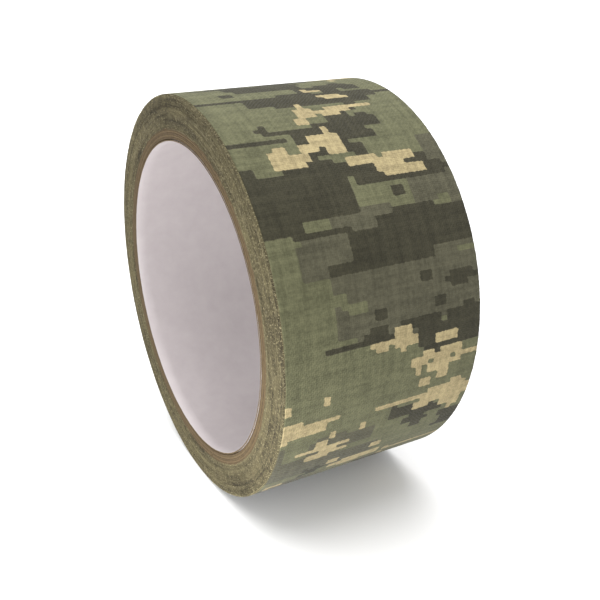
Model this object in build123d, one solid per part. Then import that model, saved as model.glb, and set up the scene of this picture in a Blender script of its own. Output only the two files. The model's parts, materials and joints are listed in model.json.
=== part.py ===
"""A roll of cloth adhesive tape on a spirally wound paper core.

The roll stands on its rim. Its origin is the middle of the bore, +Y runs along the
bore and +Z points up. Angles are measured about the bore, from the top of the roll
(+Z) towards +X, in degrees.

The core is a paper tube: a white lining paper and a stack of board plies, each a
strip wound round on a slant with its edges butted. The tape is one long strip, cloth
with adhesive under it, wound from the core outwards. It is modelled in three runs that
follow on from each other: the inner turns, the outer turn, which everything outside
touches, and the free end, which peels up about the line where it leaves the roll.
"""

import os
from math import cos, floor, pi, radians, sin, sqrt

from build123d import *

# The tape as sold
TAPE_WIDTH = 50.0
TAPE_LENGTH = 10_000.0
CLOTH_THICKNESS = 0.17
ADHESIVE_THICKNESS = 0.06

# The paper core
BORE_RADIUS = 38.3
LINER_THICKNESS = 0.3
PLY_THICKNESS = 0.5
PLY_COUNT = 5
CORE_WIDTH = TAPE_WIDTH

# The slant seams where the edges of each core strip butt together
CORE_STRIP_WIDTH = 120.0
SEAM_GAP = 0.2
FIRST_SEAM_ANGLE = 20.0
SEAM_STAGGER = 137.0

# The free end of the tape
FREE_END_LENGTH = 21.0
TIP_ANGLE = 325.0
HINGE_GAP = 0.05
STUCK_CLEARANCE = 0.03

# Worked out from the sizes above
PITCH = CLOTH_THICKNESS + ADHESIVE_THICKNESS
CORE_RADIUS = BORE_RADIUS + LINER_THICKNESS + PLY_COUNT * PLY_THICKNESS
FIRST_TURN_RADIUS = CORE_RADIUS + PITCH / 2
TIP_TURN = (sqrt(FIRST_TURN_RADIUS**2 + TAPE_LENGTH * PITCH / pi) - FIRST_TURN_RADIUS) / PITCH
ROLL_RADIUS = CORE_RADIUS + PITCH * (TIP_TURN + 1)
START_ANGLE = TIP_ANGLE - 360.0 * TIP_TURN
HINGE_TURN = TIP_TURN - FREE_END_LENGTH / (2 * pi * ROLL_RADIUS)
HINGE_ANGLE = START_ANGLE + 360.0 * HINGE_TURN

# The roll's cross-section: local X is the row's X, local Y is the row's Z
SECTION = Plane.XZ


def polar(radius, angle):
    """The point of the section at a radius and an angle from the top."""
    return Vector(radius * sin(radians(angle)), radius * cos(radians(angle)))


def half_turn(number, lift):
    """Centre and radius of one half turn of the winding, lifted off the strip's underside.

    The half turns are arcs about two centres in turn, half a pitch apart, so that each
    runs smoothly into the next and the winding grows by one pitch in a full turn.
    """
    side = 1 if number % 2 == 0 else -1
    centre = polar(-side * PITCH / 4, START_ANGLE)
    return centre, CORE_RADIUS + PITCH / 4 + number * PITCH / 2 + lift


def on_winding(turn, lift):
    """The point of the winding at a number of turns from its start."""
    centre, radius = half_turn(floor(2 * turn), lift)
    return centre + polar(radius, START_ANGLE + 360.0 * turn)


def winding_line(first_turn, last_turn, lift):
    """The arcs that follow the winding from one turn number to another."""
    stops = [first_turn]
    stops += [n / 2 for n in range(floor(2 * first_turn) + 1, floor(2 * last_turn) + 1)]
    stops = [stop for stop in stops if stop < last_turn] + [last_turn]
    arcs = []
    for start, stop in zip(stops, stops[1:]):
        centre, radius = half_turn(floor(2 * start), lift)
        from_the_top = START_ANGLE + 360.0 * start
        arcs.append(CenterArc(centre, radius, 90.0 - from_the_top, -360.0 * (stop - start)))
    return arcs


def wound_strip(first_turn, last_turn, lift, thickness):
    """A strip wound on edge between two turn numbers, as wide as the tape."""
    under = winding_line(first_turn, last_turn, lift)
    over = winding_line(first_turn, last_turn, lift + thickness)
    ends = [
        Line(under[0] @ 0, over[0] @ 0),
        Line(under[-1] @ 1, over[-1] @ 1),
    ]
    section = make_face(Wire(under + over + ends))
    return extrude(SECTION * section, amount=TAPE_WIDTH / 2, both=True)


def helix_lead(radius):
    """How far along the core a strip of this width advances in one full turn."""
    round_the_core = 2 * pi * radius
    across_the_slant = CORE_STRIP_WIDTH / round_the_core
    return CORE_STRIP_WIDTH / sqrt(1 - across_the_slant**2)


def core_strip(inner_radius, thickness, seam_angle):
    """One paper strip of the core: a tube with a slant slit where its edges butt."""
    outer_radius = inner_radius + thickness
    tube = Circle(outer_radius) - Circle(inner_radius)
    tube = extrude(SECTION * tube, amount=CORE_WIDTH / 2, both=True)
    reach = CORE_WIDTH + 2 * thickness
    twist = 360.0 * reach / helix_lead(inner_radius)
    far_end = SECTION.offset(-reach / 2)
    slit = far_end * Pos(inner_radius + thickness / 2, 0) * Rectangle(2 * thickness, SEAM_GAP)
    blade = Solid.extrude_linear_with_rotation(
        slit.face(), far_end.origin, (0, -reach, 0), twist
    )
    return tube - Rot(Y=seam_angle) * blade


def core():
    """The core's strips from the bore outwards, by node name."""
    strips = {"core_liner": core_strip(BORE_RADIUS, LINER_THICKNESS, FIRST_SEAM_ANGLE)}
    for ply in range(PLY_COUNT):
        inner_radius = BORE_RADIUS + LINER_THICKNESS + ply * PLY_THICKNESS
        seam_angle = FIRST_SEAM_ANGLE + (ply + 1) * SEAM_STAGGER
        strips[f"core_ply_{ply + 1}"] = core_strip(inner_radius, PLY_THICKNESS, seam_angle)
    return strips


def tape_run(name, first_turn, last_turn, clearance=0.0):
    """A run of the tape: its cloth, and its adhesive at a clearance from what is under it."""
    film = ADHESIVE_THICKNESS - clearance
    return {
        f"{name}_adhesive": wound_strip(first_turn, last_turn, clearance, film),
        f"{name}_cloth": wound_strip(
            first_turn, last_turn, ADHESIVE_THICKNESS, CLOTH_THICKNESS
        ),
    }


def tape():
    """The tape's three runs from the core outwards, by node name."""
    outer_turn = HINGE_TURN - 1
    lift_off = HINGE_TURN - HINGE_GAP / (2 * pi * ROLL_RADIUS)
    return {
        **tape_run("inner_turns", 0, outer_turn),
        **tape_run("outer_turn", outer_turn, lift_off),
        **tape_run("free_end", HINGE_TURN, TIP_TURN, STUCK_CLEARANCE),
    }


if __name__ == "__main__":
    os.makedirs("parts", exist_ok=True)
    pieces = {**core(), **tape()}
    for node, piece in pieces.items():
        export_step(piece, f"parts/{node}.step")
    hinge = on_winding(HINGE_TURN, PITCH)
    print(f"roll radius {ROLL_RADIUS:.3f}, core radius {CORE_RADIUS:.3f}")
    print(f"{TIP_TURN:.2f} turns, from {START_ANGLE % 360:.1f} to {TIP_ANGLE:.1f} degrees")
    print(f"peel line at X {hinge.X:.4f}, Z {hinge.Y:.4f}, {HINGE_ANGLE % 360:.2f} degrees")
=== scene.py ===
# %% [markdown]
# # A roll of camouflage cloth tape
#
# The real thing is made of two laminated strips. The core is a paper tube: a white lining
# paper and five board plies, each wound on a slant with its edges butted. The tape is ten
# metres of printed cotton cloth with adhesive under it, wound on that core.
#
# So this lesson makes everything the way the factory does: every piece starts as a flat
# strip, and is then wound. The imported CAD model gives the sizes, the places and the joint.

import json
from math import atan2, cos, pi, radians, sin

import bmesh
import bpy
import numpy as np
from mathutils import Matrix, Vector


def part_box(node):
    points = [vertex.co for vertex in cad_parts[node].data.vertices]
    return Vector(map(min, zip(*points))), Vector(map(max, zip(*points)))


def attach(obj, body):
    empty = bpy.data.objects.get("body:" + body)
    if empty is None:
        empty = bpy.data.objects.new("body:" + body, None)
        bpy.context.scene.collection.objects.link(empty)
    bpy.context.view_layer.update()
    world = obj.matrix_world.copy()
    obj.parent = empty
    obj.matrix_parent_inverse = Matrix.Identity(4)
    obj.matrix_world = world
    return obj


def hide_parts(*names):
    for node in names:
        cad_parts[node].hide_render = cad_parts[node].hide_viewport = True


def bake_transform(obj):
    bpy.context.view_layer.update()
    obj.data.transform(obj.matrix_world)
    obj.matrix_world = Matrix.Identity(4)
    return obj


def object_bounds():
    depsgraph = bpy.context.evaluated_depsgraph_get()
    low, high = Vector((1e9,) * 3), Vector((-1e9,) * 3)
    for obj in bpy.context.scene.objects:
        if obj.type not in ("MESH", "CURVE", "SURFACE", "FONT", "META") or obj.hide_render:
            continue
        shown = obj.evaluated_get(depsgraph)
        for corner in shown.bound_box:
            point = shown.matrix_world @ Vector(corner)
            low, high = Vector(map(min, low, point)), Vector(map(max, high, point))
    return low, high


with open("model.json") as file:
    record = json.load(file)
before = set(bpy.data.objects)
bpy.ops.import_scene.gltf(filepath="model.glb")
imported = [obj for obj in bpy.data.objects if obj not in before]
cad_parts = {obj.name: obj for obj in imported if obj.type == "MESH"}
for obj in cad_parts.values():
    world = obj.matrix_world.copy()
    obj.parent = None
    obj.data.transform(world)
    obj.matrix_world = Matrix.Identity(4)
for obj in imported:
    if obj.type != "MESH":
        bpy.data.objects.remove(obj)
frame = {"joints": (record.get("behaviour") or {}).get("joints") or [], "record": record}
cad_low, cad_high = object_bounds()

MM = 0.001
half_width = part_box("core_liner")[1].y
core_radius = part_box("core_ply_5")[1].x
roll_radius = (cad_high.z - cad_low.z) / 2
bore = next(m for m in frame["record"]["mounts"] if m["name"] == "core_bore")
bore_radius = bore["dims"]["r_mm"] * MM
hinge = Vector(frame["joints"][0]["pos_m"])
hinge_radius = hinge.length
hinge_angle = atan2(hinge.x, hinge.z)
print(f"roll {2 * roll_radius:.4f} m across, {2 * half_width:.3f} m wide")

# %% [markdown]
# ## Light, floor and camera
#
# The roll stands on a white table in a white room. A wide light overhead, as soft as a
# whole studio ceiling, shapes the cloth, which has no gloss, by how far each part of it
# turns away from above. A weak small light low in front lifts the cut edge near the floor.
# The camera looks down a little and sees one end and the side.

# %% The camera
CAMERA_AZIMUTH = radians(62.27)
CAMERA_ELEVATION = radians(22.10)
CAMERA_DISTANCE = 4.365 * roll_radius
LOOK_AZIMUTH = radians(60.71)
LOOK_ELEVATION = radians(23.42)
FOCAL_LENGTH = 49.66


def from_bearing(azimuth, elevation):
    """The direction in which a camera on this bearing stands."""
    level = cos(elevation)
    return Vector((sin(azimuth) * level, -cos(azimuth) * level, sin(elevation)))


camera = bpy.data.objects.new("camera", bpy.data.cameras.new("camera"))
bpy.context.collection.objects.link(camera)
camera.data.lens = FOCAL_LENGTH
camera.data.clip_start = 0.01
camera.location = from_bearing(CAMERA_AZIMUTH, CAMERA_ELEVATION) * CAMERA_DISTANCE
look = from_bearing(LOOK_AZIMUTH, LOOK_ELEVATION)
camera.rotation_euler = look.to_track_quat("Z", "Y").to_euler()
bpy.context.scene.camera = camera
print("camera at", tuple(round(v, 4) for v in camera.location))


# %% Helpers for materials
def srgb(hex_colour):
    """An sRGB hex colour as linear red, green, blue and alpha."""
    channels = [int(hex_colour[i : i + 2], 16) / 255 for i in (1, 3, 5)]
    curve = [c / 12.92 if c <= 0.04045 else ((c + 0.055) / 1.055) ** 2.4 for c in channels]
    return (*curve, 1.0)


def add_node(material, kind, inputs=None, **settings):
    """Adds a node. inputs are values, or sockets to link, by the input's name or number."""
    tree = material.node_tree
    node = tree.nodes.new(kind)
    for name, value in settings.items():
        setattr(node, name, value)
    for name, value in (inputs or {}).items():
        if isinstance(value, bpy.types.NodeSocket):
            tree.links.new(value, node.inputs[name])
        else:
            node.inputs[name].default_value = value
    return node


def new_material(name, **inputs):
    """A material with a Principled shader, whose sockets are set by name."""
    material = bpy.data.materials.new(name)
    material.use_nodes = True
    shader = material.node_tree.nodes["Principled BSDF"]
    for socket, value in inputs.items():
        shader.inputs[socket.replace("_", " ")].default_value = value
    return material, shader.inputs


# %% The white table and the lights
# Matte emulsion paint: no gloss, and a tone that drifts by a hair over a hand's width.
sweep, sweep_shader = new_material("matte_white_sweep", Roughness=0.9)
sweep_grain = add_node(sweep, "ShaderNodeTexNoise", {"Scale": 6.0, "Detail": 2.0})
sweep_tone = add_node(
    sweep,
    "ShaderNodeMix",
    {"Factor": sweep_grain.outputs["Fac"], 6: srgb("#DEDEDE"), 7: srgb("#E4E4E4")},
    data_type="RGBA",
)
sweep.node_tree.links.new(sweep_tone.outputs[2], sweep_shader["Base Color"])

FLOOR_SIZE = 14.0
plane = bmesh.new()
bmesh.ops.create_grid(plane, x_segments=1, y_segments=1, size=FLOOR_SIZE / 2)
bmesh.ops.translate(plane, vec=(0, 0, cad_low.z), verts=plane.verts)
floor_mesh = bpy.data.meshes.new("floor")
plane.to_mesh(floor_mesh)
plane.free()
floor = bpy.data.objects.new("floor", floor_mesh)
floor.data.materials.append(sweep)
bpy.context.collection.objects.link(floor)

world = bpy.data.worlds.new("white_room")
world.use_nodes = True
background = world.node_tree.nodes["Background"]
background.inputs["Color"].default_value = srgb("#FFFFFF")
background.inputs["Strength"].default_value = 1.0
bpy.context.scene.world = world
bpy.context.scene.view_settings.view_transform = "Standard"


def studio_light(name, kind, azimuth, elevation, distance, power, **settings):
    """A light that faces the roll from a bearing in degrees."""
    lamp = bpy.data.lights.new(name, kind)
    lamp.energy = power
    for setting, value in settings.items():
        setattr(lamp, setting, value)
    light = bpy.data.objects.new(name, lamp)
    away = from_bearing(radians(azimuth), radians(elevation))
    light.location = away * distance
    light.rotation_euler = away.to_track_quat("Z", "Y").to_euler()
    bpy.context.collection.objects.link(light)


studio_light("overhead", "SUN", -65, 78, 2.0, power=4.0, angle=radians(70))
studio_light("low_fill", "AREA", 30, -16, 0.125, power=0.15, size=0.025)

# %% [markdown]
# ## Winding a strip
#
# A bmesh grid is the flat strip, and winding it is one formula: distance along the strip
# becomes an angle about the bore, and the radius grows by one tape thickness a turn. The
# strip keeps its flat measures in a UV map, so a weave follows the cloth round the roll, and
# the Solidify modifier gives the strip its thickness and its cut edges.
#
# Everything is measured from the hinge, the line where the free end leaves the roll:
# turn 0 is there, turns below 0 are wound and turns above 0 are the free end.

# %% Sizes of the tape
CLOTH = 0.17 * MM
ADHESIVE = 0.06 * MM
PITCH = CLOTH + ADHESIVE
FREE_END = 21.0 * MM


def length_at(turn):
    """Distance along the strip from the hinge."""
    return 2 * pi * turn * (hinge_radius + PITCH * turn / 2)


def turn_at(length):
    """The turn number at a distance along the strip from the hinge."""
    return (np.sqrt(hinge_radius**2 + PITCH * length / pi) - hinge_radius) / PITCH


first_turn = -(hinge_radius - PITCH - core_radius) / PITCH
tip_turn = turn_at(FREE_END)
tape_length = length_at(tip_turn) - length_at(first_turn)
print(f"{tip_turn - first_turn:.1f} turns of tape, {tape_length:.2f} m long")


def wound(turn, across, depth):
    """Places on the roll: across is from the middle, and depth is below the tape's face."""
    angle = hinge_angle + 2 * pi * turn
    radius = hinge_radius + PITCH * turn - depth
    return np.stack([radius * np.sin(angle), across, radius * np.cos(angle)], axis=-1)


# %% A flat strip as a grid
def flat_strip(name, across, along):
    """A grid with a vertex at each pair of places, and those places as its UV map."""
    grid = bmesh.new()
    columns, rows = len(across) - 1, len(along) - 1
    bmesh.ops.create_grid(grid, x_segments=columns, y_segments=rows, size=0.5)
    mesh = bpy.data.meshes.new(name)
    grid.to_mesh(mesh)
    grid.free()
    places = np.empty(len(mesh.vertices) * 3)
    mesh.vertices.foreach_get("co", places)
    places = places.reshape(-1, 3) + 0.5
    column = np.rint(places[:, 0] * columns).astype(int)
    row = np.rint(places[:, 1] * rows).astype(int)
    flat = np.stack([across[column], along[row]], axis=1)
    corners = np.empty(len(mesh.loops), int)
    mesh.loops.foreach_get("vertex_index", corners)
    mesh.uv_layers.new(name="strip").data.foreach_set("uv", flat[corners].ravel())
    strip = bpy.data.objects.new(name, mesh)
    bpy.context.collection.objects.link(strip)
    return strip, column, row


def place(strip, points):
    """Moves the strip's vertices to their places and smooths its shading."""
    strip.data.vertices.foreach_set("co", points.ravel())
    strip.data.update()
    strip.data.shade_smooth()


def thicken(strip, thickness, rim_slot):
    """Gives a strip its thickness, below its face, and its cut edge a material."""
    solid = strip.modifiers.new("thickness", "SOLIDIFY")
    solid.thickness = thickness
    solid.offset = -1.0
    solid.use_even_offset = True
    solid.material_offset_rim = rim_slot


def store(strip, name, values):
    """Keeps one number for each vertex, which a material can read by name."""
    attribute = strip.data.attributes.new(name, "FLOAT", "POINT")
    attribute.data.foreach_set("value", np.asarray(values, np.float32))


# %% [markdown]
# ## The print
#
# A digital camouflage is drawn on a grid of small oblong cells: a grey-green ground, a
# deeper green, and dark and sand inks over them, in patches of stepped outline that lie
# across the tape. This print is a generic one of that kind. A seeded generator scatters
# every patch of it over the ten metres, so no part of it follows a real maker's print.

# %% The print's grid
COLUMNS = 32
CELL_LONG = 1.2 * MM
cell_wide = 2 * half_width / COLUMNS
tip_length = length_at(tip_turn)
GROUND, DEEP, DARK, SAND = 0, 1, 2, 3
SPECK = (3.0 * MM, 2 * CELL_LONG)
STEPS_A_PATCH = 8
inks = np.zeros((int(tape_length / CELL_LONG) + 2, COLUMNS), np.int8)
chance = np.random.default_rng(27)


def stamp(ink, across, along, wide, long):
    """Inks an oblong of whole cells, centred on a place across and along from the tip."""
    left = max(round((across - wide / 2) / cell_wide), 0)
    right = max(round((across + wide / 2) / cell_wide), left + 1)
    first = max(round((along - long / 2) / CELL_LONG), 0)
    last = max(round((along + long / 2) / CELL_LONG), first + 1)
    inks[first:last, left:right] = ink


def patch(ink, across, along, wide, long):
    """A patch of stepped outline: a middle, and steps out of its four sides."""
    stamp(ink, across, along, wide * 0.7, long * 0.7)
    for step in range(STEPS_A_PATCH):
        step_wide, step_long = (wide, long) * chance.uniform(0.25, 0.6, 2)
        side, slide = chance.choice([-0.5, 0.5]), chance.uniform(-0.4, 0.4)
        across_by, along_by = (side, slide) if step % 2 else (slide, side)
        stamp(ink, across + across_by * wide, along + along_by * long, step_wide, step_long)


def loose_bits(ink, across, along, wide, long):
    """A thin bar out of one side of a patch, and two specks near it."""
    bar = wide * chance.uniform(0.6, 1.4)
    bar_across = across + chance.choice([-1, 1]) * (wide + bar) / 2
    stamp(ink, bar_across, along + long * chance.uniform(-0.4, 0.4), bar, CELL_LONG)
    for _ in range(2):
        slide, rise = wide * chance.uniform(-1.0, 1.0), long * chance.choice([-1.1, 1.1])
        stamp(ink, across + slide, along + rise, *SPECK)


# %% Scatter patches over the whole strip
SQUARE_CM = 1e-4


def scatter(ink, each, wide, long, with_bits=False):
    """Patches of one ink, one to each so many square centimetres, with sizes in mm."""
    for _ in range(int(tape_length * 2 * half_width / (each * SQUARE_CM))):
        across, along = chance.uniform(0, (2 * half_width, tape_length))
        size = chance.uniform(*wide) * MM, chance.uniform(*long) * MM
        patch(ink, across, along, *size)
        if with_bits and chance.random() < 0.5:
            loose_bits(ink, across, along, *size)


scatter(DEEP, each=8, wide=(12, 34), long=(7, 16))
scatter(DARK, each=8, wide=(10, 32), long=(3.6, 9), with_bits=True)
scatter(DARK, each=6, wide=(3, 8), long=(2.4, 5))
scatter(SAND, each=7, wide=(4, 13), long=(2.4, 6), with_bits=True)
scatter(SAND, each=9, wide=(1.6, 5), long=(1.2, 3))
scatter(GROUND, each=20, wide=(2, 5), long=(1.2, 3))
shares = [round(float((inks == ink).mean()), 2) for ink in (GROUND, DEEP, DARK, SAND)]
print("ground, deep, dark and sand cover", shares)


def store_print(strip, across, length):
    """Keeps how much of each ink there is at each vertex of a strip."""
    column = np.clip((across / cell_wide).astype(int), 0, COLUMNS - 1)
    row = np.clip(((tip_length - length) / CELL_LONG).astype(int), 0, len(inks) - 1)
    store(strip, "deep_ink", inks[row, column] != GROUND)
    store(strip, "dark_ink", inks[row, column] == DARK)
    store(strip, "sand_ink", inks[row, column] == SAND)


# %% [markdown]
# ## The printed cloth
#
# Cotton cloth is matt and slightly uneven: each thread is a little thicker or thinner along
# its length, and takes more or less ink. A vertex knows only how much of each ink it has.
# The shader turns those amounts into sharp edges, and lets a thread-fine noise nibble at
# them.

# %% The weave
# Real threads are 0.3 mm apart, and are drawn at 0.5 mm so that they show.
THREAD = 0.5 * MM


def weave(material):
    """Adds plain weave: its height, the uneven tone of its threads, and its flat measures."""
    flat = add_node(material, "ShaderNodeUVMap", uv_map="strip").outputs["UV"]
    drift = add_node(
        material,
        "ShaderNodeTexNoise",
        {"Vector": flat, "Scale": 0.25 / THREAD, "Detail": 1.0},
        noise_dimensions="2D",
    )
    bent = add_node(
        material,
        "ShaderNodeVectorMath",
        {0: drift.outputs["Color"], 1: (1.6 * THREAD,) * 3, 2: flat},
        operation="MULTIPLY_ADD",
    )
    threads = add_node(
        material,
        "ShaderNodeVectorMath",
        {0: bent.outputs[0], "Scale": pi / THREAD},
        operation="SCALE",
    )
    split = add_node(material, "ShaderNodeSeparateXYZ", {0: threads.outputs[0]})
    waves, domes = [], []
    for axis in "XY":
        wave = add_node(material, "ShaderNodeMath", {0: split.outputs[axis]}, operation="SINE")
        dome = add_node(material, "ShaderNodeMath", {0: wave.outputs[0]}, operation="ABSOLUTE")
        waves.append(wave.outputs[0])
        domes.append(dome.outputs[0])
    sign = add_node(
        material, "ShaderNodeMath", {0: waves[0], 1: waves[1]}, operation="MULTIPLY"
    )
    over = add_node(
        material, "ShaderNodeMath", {0: sign.outputs[0], 1: 0.0}, operation="GREATER_THAN"
    )
    height = add_node(
        material, "ShaderNodeMix", {"Factor": over.outputs[0], 2: domes[0], 3: domes[1]}
    )
    tones = []
    for stretch in ((1, 9, 1), (9, 1, 1)):
        slub = add_node(
            material,
            "ShaderNodeVectorMath",
            {0: flat, 1: [0.3 / THREAD / s for s in stretch]},
            operation="MULTIPLY",
        )
        noise = add_node(
            material,
            "ShaderNodeTexNoise",
            {"Vector": slub.outputs[0], "Scale": 1.0, "Detail": 3.0, "Roughness": 0.6},
            noise_dimensions="2D",
        )
        tones.append(noise.outputs["Fac"])
    tone = add_node(
        material, "ShaderNodeMath", {0: tones[0], 1: tones[1]}, operation="ADD"
    )
    return height.outputs[0], tone.outputs[0], flat


# %% The inks on the cloth
# Plain-woven cotton, printed: matt, with the faint sheen of short fibres.
cloth, cloth_shader = new_material(
    "woven_cotton_printed", Roughness=0.9, Specular_IOR_Level=0.12, Sheen_Weight=0.06
)
height, tone, flat = weave(cloth)
fibre = add_node(
    cloth,
    "ShaderNodeTexNoise",
    {"Vector": flat, "Scale": 0.6 / THREAD, "Detail": 2.0},
    noise_dimensions="2D",
)
nibble = add_node(
    cloth,
    "ShaderNodeMapRange",
    {
        "Value": fibre.outputs["Fac"],
        "From Min": 0.3,
        "From Max": 0.7,
        "To Min": -0.14,
        "To Max": 0.14,
    },
)


def ink_edge(name, operation):
    """An ink's amount with its soft border sharpened, and moved by the fibres."""
    amount = add_node(cloth, "ShaderNodeAttribute", attribute_name=name)
    moved = add_node(
        cloth,
        "ShaderNodeMath",
        {0: amount.outputs["Fac"], 1: nibble.outputs[0]},
        operation=operation,
    )
    return add_node(
        cloth,
        "ShaderNodeMapRange",
        {"Value": moved.outputs[0], "From Min": 0.4, "From Max": 0.6},
    ).outputs[0]


with_deep = add_node(
    cloth,
    "ShaderNodeMix",
    {"Factor": ink_edge("deep_ink", "ADD"), 6: srgb("#5A5A43"), 7: srgb("#4C4A3B")},
    data_type="RGBA",
)
with_sand = add_node(
    cloth,
    "ShaderNodeMix",
    {"Factor": ink_edge("sand_ink", "ADD"), 6: with_deep.outputs[2], 7: srgb("#958866")},
    data_type="RGBA",
)
with_dark = add_node(
    cloth,
    "ShaderNodeMix",
    {"Factor": ink_edge("dark_ink", "SUBTRACT"), 6: with_sand.outputs[2], 7: srgb("#363428")},
    data_type="RGBA",
)
lint = add_node(
    cloth,
    "ShaderNodeMath",
    {0: fibre.outputs["Fac"], 1: 0.9, 2: tone},
    operation="MULTIPLY_ADD",
)
uneven = add_node(
    cloth,
    "ShaderNodeMapRange",
    {"Value": lint.outputs[0], "From Min": 1.1, "From Max": 1.8, "To Min": 0.76, "To Max": 1.24},
)
# Painted shade: the cloth's colour is made darker where the weave is low, in the hollows between
# its threads.
painted_gap_shade = add_node(
    cloth,
    "ShaderNodeMapRange",
    {"Value": height, "From Min": 0.0, "From Max": 0.8, "To Min": 0.88, "To Max": 1.04},
)
# The threads' own uneven tone, times the painted shade in the hollows of the weave.
thread_tone_and_painted_shade = add_node(
    cloth,
    "ShaderNodeMath",
    {0: uneven.outputs[0], 1: painted_gap_shade.outputs[0]},
    operation="MULTIPLY",
)
colour = add_node(
    cloth,
    "ShaderNodeVectorMath",
    {0: with_dark.outputs[2], "Scale": thread_tone_and_painted_shade.outputs[0]},
    operation="SCALE",
)
relief = add_node(
    cloth,
    "ShaderNodeBump",
    {"Height": height, "Strength": 0.6, "Distance": 0.1 * MM},
)
cloth.node_tree.links.new(colour.outputs[0], cloth_shader["Base Color"])
cloth.node_tree.links.new(relief.outputs[0], cloth_shader["Normal"])
print("made", cloth.name)

# %% [markdown]
# ## The cut edges
#
# A knife parts the log of tape into rolls, so each end is hundreds of cut threads held by
# gum. It looks olive-brown, streaked round the roll, because no two turns were cut alike,
# with pale dots where a cotton end shows. The streaks come from the geometry, turn by turn,
# and from two tones that each strip keeps: one of its own, and one that it shares with the
# turns next to it.

# %% Cut cotton and gum
# Thread ends matted with rubber and soil: rough and dark, with specks of bare cotton.
# Real thread ends are 0.3 mm apart, and are drawn at 0.45 mm so that they show.
END_SPACING = 0.45 * MM
# All the layers of a noise line up at its origin, so that is moved off the roll.
NOISE_ORIGIN = (0.31, 0.17, 0.23)
edge, edge_shader = new_material(
    "cut_cotton_and_gum", Roughness=0.85, Specular_IOR_Level=0.25
)
centred = add_node(edge, "ShaderNodeTexCoord").outputs["Object"]
position = add_node(
    edge, "ShaderNodeMapping", {"Vector": centred, "Location": NOISE_ORIGIN}
).outputs["Vector"]
ends = add_node(
    edge,
    "ShaderNodeTexNoise",
    {"Vector": position, "Scale": 1 / END_SPACING, "Detail": 2.0, "Roughness": 0.7},
)
matted = add_node(
    edge,
    "ShaderNodeTexNoise",
    {"Vector": position, "Scale": 1 / (2.2 * MM), "Detail": 3.0, "Roughness": 0.6},
)
streak = add_node(edge, "ShaderNodeAttribute", attribute_name="streak")
streaked = add_node(
    edge,
    "ShaderNodeMath",
    {0: streak.outputs["Fac"], 1: 0.5, 2: ends.outputs["Fac"]},
    operation="MULTIPLY_ADD",
)
soft = add_node(
    edge,
    "ShaderNodeMath",
    {0: streaked.outputs[0], 1: matted.outputs["Fac"]},
    operation="ADD",
)
share = add_node(
    edge, "ShaderNodeMapRange", {"Value": soft.outputs[0], "From Min": 0.85, "From Max": 1.7}
)
gum = add_node(
    edge,
    "ShaderNodeMix",
    {"Factor": share.outputs[0], 6: srgb("#292314"), 7: srgb("#615A40")},
    data_type="RGBA",
)
sand_edge = add_node(edge, "ShaderNodeAttribute", attribute_name="sand_ink")
sand_share = add_node(
    edge, "ShaderNodeMath", {0: sand_edge.outputs["Fac"], 1: 0.22}, operation="MULTIPLY"
)
inked = add_node(
    edge,
    "ShaderNodeMix",
    {"Factor": sand_share.outputs[0], 6: gum.outputs[2], 7: srgb("#756D52")},
    data_type="RGBA",
)
pale = add_node(
    edge,
    "ShaderNodeMapRange",
    {"Value": ends.outputs["Fac"], "From Min": 0.58, "From Max": 0.68},
)
dotted = add_node(
    edge,
    "ShaderNodeMix",
    {"Factor": pale.outputs[0], 6: inked.outputs[2], 7: srgb("#756D52")},
    data_type="RGBA",
)
edge_relief = add_node(
    edge,
    "ShaderNodeBump",
    {"Height": ends.outputs["Fac"], "Strength": 0.9, "Distance": 0.2 * MM},
)
edge.node_tree.links.new(dotted.outputs[2], edge_shader["Base Color"])
edge.node_tree.links.new(edge_relief.outputs[0], edge_shader["Normal"])

# %% Natural rubber adhesive
# Calendered gum, which is cream and smooth, so it is the one glossy face of the tape.
gum_film, film_shader = new_material(
    "natural_rubber_adhesive", Roughness=0.35, Specular_IOR_Level=0.5, IOR=1.52
)
film_flat = add_node(gum_film, "ShaderNodeUVMap", uv_map="strip").outputs["UV"]
ripple = add_node(
    gum_film,
    "ShaderNodeTexNoise",
    {"Vector": film_flat, "Scale": 1 / (1.5 * MM), "Detail": 2.0},
    noise_dimensions="2D",
)
film_colour = add_node(
    gum_film,
    "ShaderNodeMix",
    {"Factor": ripple.outputs["Fac"], 6: srgb("#8A8064"), 7: srgb("#A89D7C")},
    data_type="RGBA",
)
film_relief = add_node(
    gum_film,
    "ShaderNodeBump",
    {"Height": ripple.outputs["Fac"], "Strength": 0.4, "Distance": 0.05 * MM},
)
gum_film.node_tree.links.new(film_colour.outputs[2], film_shader["Base Color"])
gum_film.node_tree.links.new(film_relief.outputs[0], film_shader["Normal"])
print("made", edge.name, "and", gum_film.name)

# %% [markdown]
# ## The wound tape
#
# The inner turns show only at the roll's ends, so five vertices across are enough, and the
# narrow strips beside their ends are soiled like the cut edge. The outer turn shows its
# face, so it has two vertices to a cell of the print each way, and the free end is the
# same, as a piece of its own.

# %% How the strip's edges wander, and how their tone does
WANDER_STEP = 70.0 * MM
WANDER = 0.04 * MM
knots = np.arange(length_at(first_turn) - WANDER_STEP, tip_length + WANDER_STEP, WANDER_STEP)
wander_low, wander_high = chance.normal(0, WANDER, (2, len(knots)))
ROUND_STREAKS = 26
TURNS_A_STREAK = 3.0
SHARED_SPREAD = 0.32
streak_rows = int(-first_turn / TURNS_A_STREAK) + 3
streak_tones = chance.normal(0.5, SHARED_SPREAD, (streak_rows, ROUND_STREAKS)).clip(0, 1)
STREAK_STEP = 11.0 * MM
OWN_SPREAD = 0.2
streak_knots = np.arange(knots[0], knots[-1], STREAK_STEP)
streak_values = chance.normal(0, OWN_SPREAD, len(streak_knots))
RIM_ROUNDING = 0.25 * MM
ROUNDED_TURNS = 5.0


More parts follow.
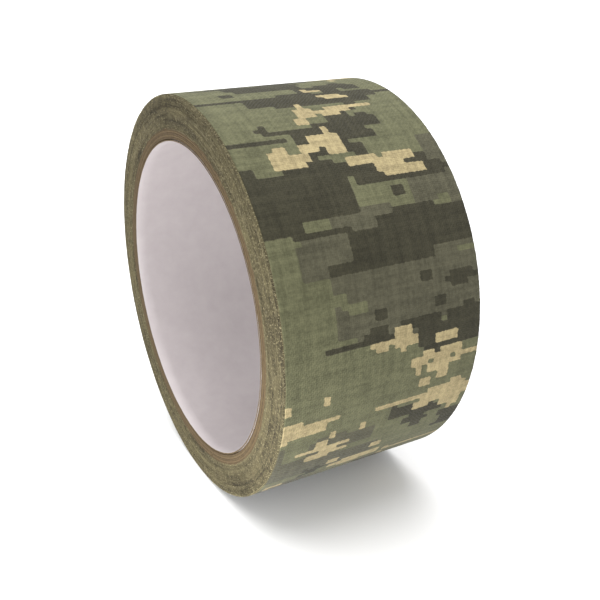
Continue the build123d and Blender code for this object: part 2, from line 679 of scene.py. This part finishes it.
def across_the_roll(across, turn, fray):
    """Places across the roll of points across the strip, with wandering, frayed edges."""
    length = length_at(turn)
    low = np.interp(length, knots, wander_low)
    high = np.interp(length, knots, wander_high)
    worn = RIM_ROUNDING * np.clip(1 + turn / ROUNDED_TURNS, 0, 1) ** 2
    share = across / (2 * half_width)
    inset = worn + fray * chance.random(len(across))
    low_edge = -half_width + inset + low
    high_edge = half_width - inset + high
    return low_edge + (high_edge - low_edge) * share


def store_streak(strip, turn):
    """Keeps the tone of the cut edge: its own along the strip, and one that turns share."""
    own = np.interp(length_at(turn), streak_knots, streak_values)
    inwards, round_it = (tip_turn - turn) / TURNS_A_STREAK, (turn % 1) * ROUND_STREAKS
    row, column = inwards.astype(int), round_it.astype(int) % ROUND_STREAKS
    down, along = inwards - row, round_it % 1
    after = (column + 1) % ROUND_STREAKS
    upper = streak_tones[row, column] * (1 - along) + streak_tones[row, after] * along
    lower = streak_tones[row + 1, column] * (1 - along) + streak_tones[row + 1, after] * along
    store(strip, "streak", own + upper * (1 - down) + lower * down)


def soil_the_edges(strip, column):
    """Gives the first and the last column of faces the cut edge's material."""
    corners = np.empty(len(strip.data.loops), np.int32)
    strip.data.loops.foreach_get("vertex_index", corners)
    columns = column[corners].reshape(-1, 4)
    soiled = (columns.min(axis=1) == 0) | (columns.max(axis=1) == column.max())
    strip.data.polygons.foreach_set("material_index", soiled.astype(np.int32))


def wind(name, across, turns, depth, thickness, materials, fray, soiled=False):
    """A run of strip: flat, then wound, with its print and its cut edges."""
    strip, column, row = flat_strip(name, across, length_at(turns))
    if soiled:
        soil_the_edges(strip, column)
    turn, where = turns[row], across[column]
    place(strip, wound(turn, across_the_roll(where, turn, fray), depth))
    store_print(strip, where, length_at(turn))
    store_streak(strip, turn)
    for material in materials:
        strip.data.materials.append(material)
    thicken(strip, thickness, rim_slot=len(materials) - 1)
    triangles = 4 * len(strip.data.polygons) + 4 * (len(across) + len(turns))
    print(f"{name}: {triangles} triangles")
    return strip


# %% The inner turns
SEGMENTS_A_TURN = 180
# The cloth is a hair thinner here, so that each turn shows as a line of its own.
CLOTH_IN_THE_ROLL = 0.95 * CLOTH
coarse_across = np.array([0.0, 0.04, 1.0, 1.96, 2.0]) * half_width
inner = np.linspace(first_turn, -1.0, int(SEGMENTS_A_TURN * (-1.0 - first_turn)))
inner_cloth = wind(
    "inner_turns_cloth_strip", coarse_across, inner, 0, CLOTH_IN_THE_ROLL, [cloth, edge],
    fray=0.035 * MM, soiled=True,
)
inner_film = wind(
    "inner_turns_adhesive_film", coarse_across, inner, CLOTH, ADHESIVE, [gum_film, edge],
    fray=0.05 * MM, soiled=True,
)

# %% The outer turn and the free end
half_cells = np.arange(0.5, 2 * COLUMNS) * cell_wide / 2
fine_across = np.concatenate([[0.0], half_cells, [2 * half_width]])


def fine_turns(start, end):
    """Turn numbers from start to end, with two to each cell of the print."""
    steps = np.arange(0.5, 2 * len(inks)) * CELL_LONG / 2
    between_them = turn_at(tip_length - steps[steps < tape_length])[::-1]
    margin = 0.1 * MM / (2 * pi * hinge_radius)
    inside = (between_them > start + margin) & (between_them < end - margin)
    return np.concatenate([[start], between_them[inside], [end]])


CLOTH_FRAY = 0.1 * MM
FILM_FRAY = 0.03 * MM
outer_cloth = wind(
    "outer_turn_cloth_strip", fine_across, fine_turns(-1.0, 0.0), 0, CLOTH,
    [cloth, edge], CLOTH_FRAY,
)
outer_film = wind(
    "outer_turn_adhesive_film", coarse_across, fine_turns(-1.0, 0.0), CLOTH, ADHESIVE,
    [gum_film, edge], FILM_FRAY,
)
free_cloth = wind(
    "free_end_cloth_strip", fine_across, fine_turns(0.0, tip_turn), 0, CLOTH,
    [cloth, edge], CLOTH_FRAY,
)
free_film = wind(
    "free_end_adhesive_film", fine_across, fine_turns(0.0, tip_turn), CLOTH, ADHESIVE / 2,
    [gum_film], FILM_FRAY,
)

# %% What the tape's pieces stand for, and how they move
strips = [
    (inner_cloth, "inner_turns_cloth", "printed_cloth"),
    (inner_film, "inner_turns_adhesive", "adhesive"),
    (outer_cloth, "outer_turn_cloth", "printed_cloth"),
    (outer_film, "outer_turn_adhesive", "adhesive"),
    (free_cloth, "free_end_cloth", "printed_cloth"),
    (free_film, "free_end_adhesive", "adhesive"),
]
for strip, node, slot in strips:
    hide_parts(node)
    if node.startswith("free_end"):
        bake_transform(strip)
    else:
        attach(strip, "roll")

# %% [markdown]
# ## The paper core
#
# Each core paper is a strip wound on a slant. Seen flat, the tube is a slanted strip cut off
# square at both ends, so a grid is wound with a twist: its two long sides meet along a slant
# seam. The board is grey-brown recycled paper, and the lining is smooth white paper.

# %% Core materials
# Recycled paper board, cut with a knife: brown, rough and fibrous, darker in every other ply.
board, board_shader = new_material(
    "recycled_core_board", Roughness=0.9, Specular_IOR_Level=0.2
)
board_centred = add_node(board, "ShaderNodeTexCoord").outputs["Object"]
board_place = add_node(
    board, "ShaderNodeMapping", {"Vector": board_centred, "Location": NOISE_ORIGIN}
).outputs["Vector"]
ply_tone = add_node(board, "ShaderNodeAttribute", attribute_name="ply_tone")
fibres = add_node(
    board,
    "ShaderNodeTexNoise",
    {"Vector": board_place, "Scale": 1 / (0.8 * MM), "Detail": 4.0, "Roughness": 0.65},
)
board_share = add_node(
    board,
    "ShaderNodeMath",
    {0: ply_tone.outputs["Fac"], 1: fibres.outputs["Fac"]},
    operation="ADD",
)
board_colour = add_node(
    board,
    "ShaderNodeMix",
    {"Factor": board_share.outputs[0], 6: srgb("#342819"), 7: srgb("#5B4D36")},
    data_type="RGBA",
)
board_relief = add_node(
    board,
    "ShaderNodeBump",
    {"Height": fibres.outputs["Fac"], "Strength": 0.6, "Distance": 0.1 * MM},
)
board.node_tree.links.new(board_colour.outputs[2], board_shader["Base Color"])
board.node_tree.links.new(board_relief.outputs[0], board_shader["Normal"])

# Bleached kraft paper, smoothed by rollers: off-white, with a dull shine and faint clouds.
paper, paper_shader = new_material(
    "bleached_lining_paper", Roughness=0.5, Specular_IOR_Level=0.4
)
paper_centred = add_node(paper, "ShaderNodeTexCoord").outputs["Object"]
paper_place = add_node(
    paper, "ShaderNodeMapping", {"Vector": paper_centred, "Location": NOISE_ORIGIN}
).outputs["Vector"]
cloudy = add_node(
    paper,
    "ShaderNodeTexNoise",
    {"Vector": paper_place, "Scale": 1 / (4 * MM), "Detail": 4.0, "Roughness": 0.6},
)
paper_colour = add_node(
    paper,
    "ShaderNodeMix",
    {"Factor": cloudy.outputs["Fac"], 6: srgb("#938C8D"), 7: srgb("#A29B9B")},
    data_type="RGBA",
)
paper_relief = add_node(
    paper,
    "ShaderNodeBump",
    {"Height": cloudy.outputs["Fac"], "Strength": 0.15, "Distance": 0.1 * MM},
)
paper.node_tree.links.new(paper_colour.outputs[2], paper_shader["Base Color"])
paper.node_tree.links.new(paper_relief.outputs[0], paper_shader["Normal"])

# %% Wind the core's papers
CORE_STRIP_WIDTH = 120.0 * MM
SEAM_GAP = 0.2 * MM
FIRST_SEAM = radians(110.0)
SEAM_STAGGER = radians(137.0)
ROUGH_CUT = 0.05 * MM
EASED_EDGE = 0.07 * MM
CUT_EDGE_SLOT = 1
PLY_TONE = 0.15
STEPS_ACROSS, STEPS_ROUND = 16, 240


def core_paper(node, order, outer_radius, thickness, material):
    """One paper of the core, wound on a slant on the one before, with its corners eased."""
    inner_radius = outer_radius - thickness
    lead = CORE_STRIP_WIDTH / np.sqrt(1 - (CORE_STRIP_WIDTH / (2 * pi * inner_radius)) ** 2)
    across = np.linspace(-half_width, half_width, STEPS_ACROSS + 1)
    around = np.linspace(SEAM_GAP, 2 * pi * outer_radius, STEPS_ROUND + 1)
    tube, column, row = flat_strip(node + "_paper", across, around)
    along = across[column]
    ends = (column == 0) | (column == len(across) - 1)
    cut = along - np.sign(along) * ends * ROUGH_CUT * chance.random(len(along))
    seam = FIRST_SEAM + order * SEAM_STAGGER + 2 * pi * (along - half_width) / lead
    angle = seam + around[row] / outer_radius
    places = [outer_radius * np.sin(angle), cut, outer_radius * np.cos(angle)]
    place(tube, np.stack(places, axis=1))
    tube.data.materials.append(material)
    tube.data.materials.append(board)
    store(tube, "ply_tone", np.full(len(along), PLY_TONE * (-1) ** order))
    thicken(tube, thickness, rim_slot=CUT_EDGE_SLOT)
    eased = tube.modifiers.new("eased_edges", "BEVEL")
    eased.width = EASED_EDGE
    eased.segments = 1
    eased.material = CUT_EDGE_SLOT
    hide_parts(node)
    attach(tube, "roll")


wall_start = bore_radius
for order in range(6):
    node = f"core_ply_{order}" if order else "core_liner"
    wall_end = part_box(node)[1].x
    material, slot = (board, "core_board") if order else (paper, "core_paper")
    core_paper(node, order, wall_end, wall_end - wall_start, material)
    wall_start = wall_end
print("wound", order + 1, "core papers")

# %% [markdown]
# ## Loose cotton ends
#
# Where the knife went through the weave, short ends of thread stand out of both ends of the
# roll, most of all at the outer turn. Each is a tiny three-sided spike.

# %% Scatter the cotton ends
# Bare cotton fibre, bleached and then soiled by gum in places: pale and quite matt.
cotton, cotton_shader = new_material("bleached_cotton_ends", Roughness=0.95)
cotton_centred = add_node(cotton, "ShaderNodeTexCoord").outputs["Object"]
cotton_place = add_node(
    cotton, "ShaderNodeMapping", {"Vector": cotton_centred, "Location": NOISE_ORIGIN}
).outputs["Vector"]
soiled = add_node(
    cotton, "ShaderNodeTexNoise", {"Vector": cotton_place, "Scale": 1 / (3 * MM)}
)
cotton_colour = add_node(
    cotton,
    "ShaderNodeMix",
    {"Factor": soiled.outputs["Fac"], 6: srgb("#7D7757"), 7: srgb("#C9C09C")},
    data_type="RGBA",
)
cotton.node_tree.links.new(cotton_colour.outputs[2], cotton_shader["Base Color"])

# Each spike is a bunch of fibres, thicker than a single one so that it shows.
LEAN = 0.45
END_LENGTHS = (0.15, 0.45)
FOOT_RADIUS, TIP_RADIUS = 0.06 * MM, 0.02 * MM


def thread_end(spikes, turn, side):
    """One spike of thread that stands out of the end of the roll at a turn number."""
    foot = wound(np.array(turn), np.array(side * (half_width - RIM_ROUNDING)), CLOTH / 2)
    way = Vector(chance.normal(0, LEAN, 3) + np.array([0, side, 0])).normalized()
    long = chance.uniform(*END_LENGTHS) * MM
    turned = way.to_track_quat("Z", "Y").to_matrix().to_4x4()
    turned.translation = Vector(foot) + way * long / 2
    bmesh.ops.create_cone(
        spikes,
        cap_ends=True,
        segments=3,
        radius1=FOOT_RADIUS,
        radius2=TIP_RADIUS,
        depth=long,
        matrix=turned,
    )


RIM_SPACING = 0.9 * MM
LOOSE_ENDS = 1200


def cotton_ends(name, side):
    """All the thread ends of one end of the roll: a row at the rim, and loose ones inside."""
    spikes = bmesh.new()
    for length in np.arange(length_at(-1), tip_length, RIM_SPACING):
        thread_end(spikes, turn_at(length), side)
    for _ in range(LOOSE_ENDS):
        thread_end(spikes, first_turn * chance.random() ** 1.5, side)
    mesh = bpy.data.meshes.new(name)
    spikes.to_mesh(mesh)
    spikes.free()
    ends = bpy.data.objects.new(name, mesh)
    ends.data.materials.append(cotton)
    bpy.context.collection.objects.link(ends)
    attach(ends, "roll")
    print(name, len(mesh.polygons), "faces")


cotton_ends("near_cotton_ends", -1)
cotton_ends("far_cotton_ends", 1)
